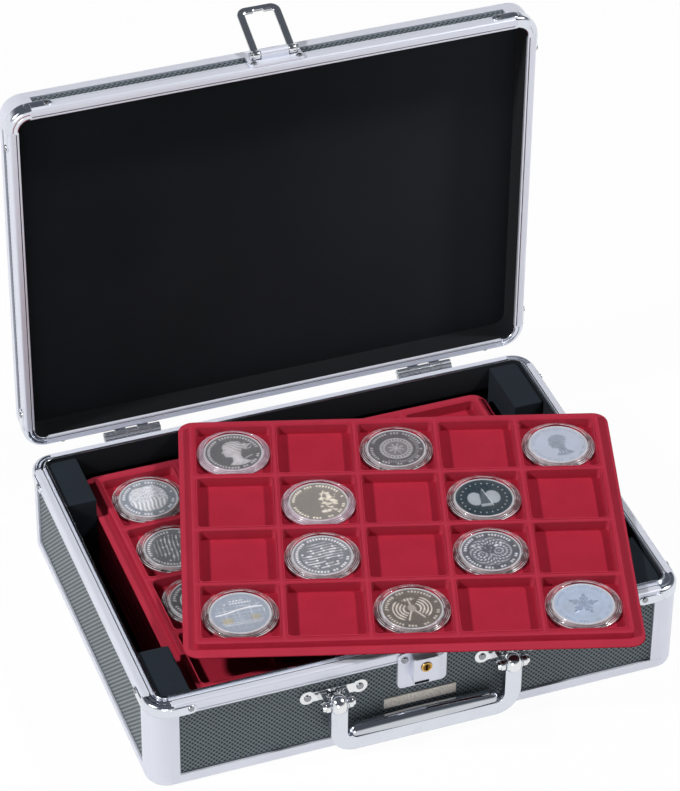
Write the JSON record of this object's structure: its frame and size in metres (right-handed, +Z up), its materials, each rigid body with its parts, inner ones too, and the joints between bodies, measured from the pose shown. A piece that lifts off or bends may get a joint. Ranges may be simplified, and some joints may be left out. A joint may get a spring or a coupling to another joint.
{
  "type": "coin box",
  "caption": "Hinged aluminium-edged coin case with embossed dark panels, hasp, key lock and folding handle, holding stacked lift-out velour trays for capsuled coins.",
  "frame": {"origin": "centre of the base's underside, on the surface that it stands on", "axes": "+X to the right along the front, +Y to the back, +Z up"},
  "size_m": [0.3114, 0.299, 0.2924],
  "materials": {
    "panel": "embossed diamond pattern",
    "edging": "satin anodised",
    "bright": "polished",
    "lining": "matte lining",
    "foam": "closed-cell foam",
    "brass": "polished",
    "name_plate": "brushed, bare",
    "velour": "velour flock",
    "clear": "clear plastic",
    "coin": "struck metal"
  },
  "bodies": {
    "base": {"base_bottom_panel": "panel", "base_front_panel": "panel", "base_rear_panel": "panel", "base_left_panel": "panel", "base_right_panel": "panel", "base_front_rim": "edging", "base_rear_rim": "edging", "base_left_rim": "edging", "base_right_rim": "edging", "base_dust_lip": "edging", "base_rails": "edging", "base_posts": "edging", "base_rim_corners": "bright", "base_foot_corners": "edging", "base_floor_lining": "lining", "base_wall_lining": "lining", "foam_block_fl": "foam", "foam_block_fr": "foam", "foam_block_rl": "foam", "foam_block_rr": "foam", "lock_plate": "bright", "lock_body": "bright", "name_plate": "name_plate", "handle_bracket_left": "bright", "handle_bracket_right": "bright", "handle_pins": "bright", "base_rivets": "bright", "hinge_base_leaves": "edging", "hinge_pins": "bright"},
    "lid": {"lid_top_panel": "panel", "lid_wall_panels": "panel", "lid_front_rim": "edging", "lid_rear_rim": "edging", "lid_left_rim": "edging", "lid_right_rim": "edging", "lid_rails": "edging", "lid_posts": "edging", "lid_rim_corners": "bright", "lid_top_corners": "edging", "lid_ceiling_lining": "lining", "lid_wall_lining": "lining", "lid_rivets": "bright", "hinge_lid_leaves": "edging", "hasp_base": "bright", "hasp_pin": "bright"},
    "hasp": {"hasp_loop": "bright"},
    "handle": {"handle_frame": "bright", "handle_grip": "bright"},
    "lock_plug": {"lock_plug": "brass"},
    "tray_6": {"tray_6": "velour"},
    "tray_5": {"tray_5": "velour"},
    "tray_4": {"tray_4": "velour"},
    "tray_3": {"tray_3": "velour"},
    "tray_2": {"tray_2": "velour", "tray_2_capsules": "clear", "tray_2_coins": "coin"},
    "tray_1": {"tray_1": "velour", "tray_1_capsules": "clear", "tray_1_coins": "coin"}
  },
  "joints": [
    {"name": "lid_hinge", "type": "hinge", "parent": "base", "child": "lid", "pos_m": [0, 0.112, 0.0552], "axis": [-1, 0, 0], "range_deg": [-90, 0]},
    {"name": "hasp_hinge", "type": "hinge", "parent": "lid", "child": "hasp", "pos_m": [0, 0.12, 0.2794], "axis": [-1, 0, 0], "range_deg": [-157, 0]},
    {"name": "handle_hinge", "type": "hinge", "parent": "base", "child": "handle", "pos_m": [0, -0.116, 0.0365], "axis": [-1, 0, 0], "range_deg": [0, 90]},
    {"name": "lock_turn", "type": "hinge", "parent": "base", "child": "lock_plug", "pos_m": [0, -0.116, 0.0478], "axis": [0, -1, 0], "range_deg": [0, 90]},
    {"name": "tray_6_lift", "type": "slide", "parent": "base", "child": "tray_6", "axis": [0, 0, 1], "range_m": [0, 0.06]},
    {"name": "tray_5_lift", "type": "slide", "parent": "tray_6", "child": "tray_5", "axis": [0, 0, 1], "range_m": [0, 0.06]},
    {"name": "tray_4_lift", "type": "slide", "parent": "tray_5", "child": "tray_4", "axis": [0, 0, 1], "range_m": [0, 0.06]},
    {"name": "tray_3_lift", "type": "slide", "parent": "tray_4", "child": "tray_3", "axis": [0, 0, 1], "range_m": [0, 0.06]},
    {"name": "tray_2_lift", "type": "slide", "parent": "tray_3", "child": "tray_2", "axis": [0, 0, 1], "range_m": [0, 0.06]},
    {"name": "tray_1_swivel", "type": "hinge", "parent": "tray_2", "child": "tray_1", "pos_m": [-0.06791, -0.08584, 0.0569], "axis": [0, 0, 1], "range_deg": [0, 17.25]}
  ],
  "couplings": [
    {"joint": "tray_1_swivel", "follows": "lid_hinge", "ratio": -0.19167}
  ]
}
